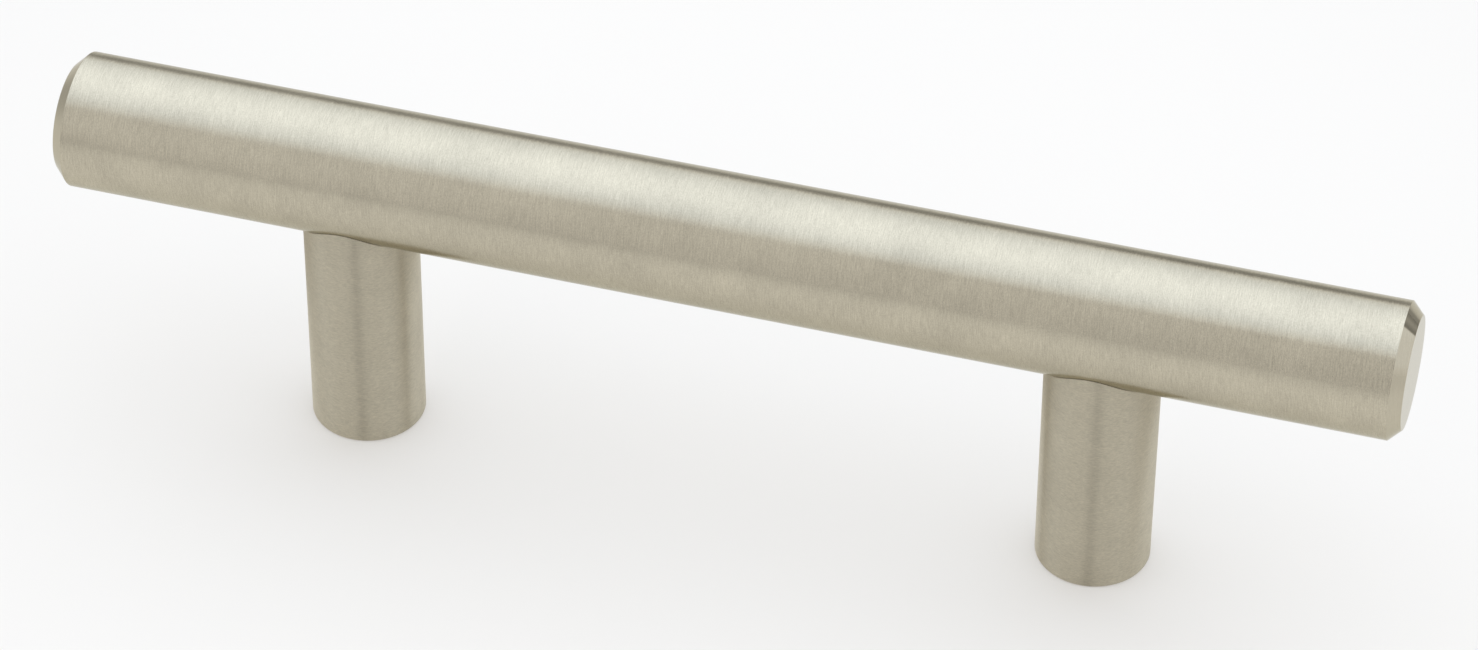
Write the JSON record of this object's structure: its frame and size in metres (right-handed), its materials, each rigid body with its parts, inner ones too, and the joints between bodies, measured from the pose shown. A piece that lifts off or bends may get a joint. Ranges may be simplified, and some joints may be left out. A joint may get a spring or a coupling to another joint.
{
  "type": "t bar cabinet pull",
  "caption": "Straight round bar pull on coped round posts, satin nickel, for cabinet doors and drawers, fixed by screws from behind through holes three inches apart.",
  "frame": {"origin": "on the mounting face, midway between the two screw holes", "axes": "+X along the bar, +Z from the door out through the bar, so the feet stand on the plane Z = 0"},
  "size_m": [0.1366, 0.0136, 0.0381],
  "materials": {
    "bar_satin_nickel": "satin nickel plate, brushed round the bar",
    "post_satin_nickel": "satin nickel plate, brushed round the post",
    "screw_steel": "blackened alloy steel"
  },
  "bodies": {
    "root": {"bar": "bar_satin_nickel", "post_left": "post_satin_nickel", "post_right": "post_satin_nickel", "joining_screw_left": "screw_steel", "joining_screw_right": "screw_steel"}
  },
  "joints": []
}
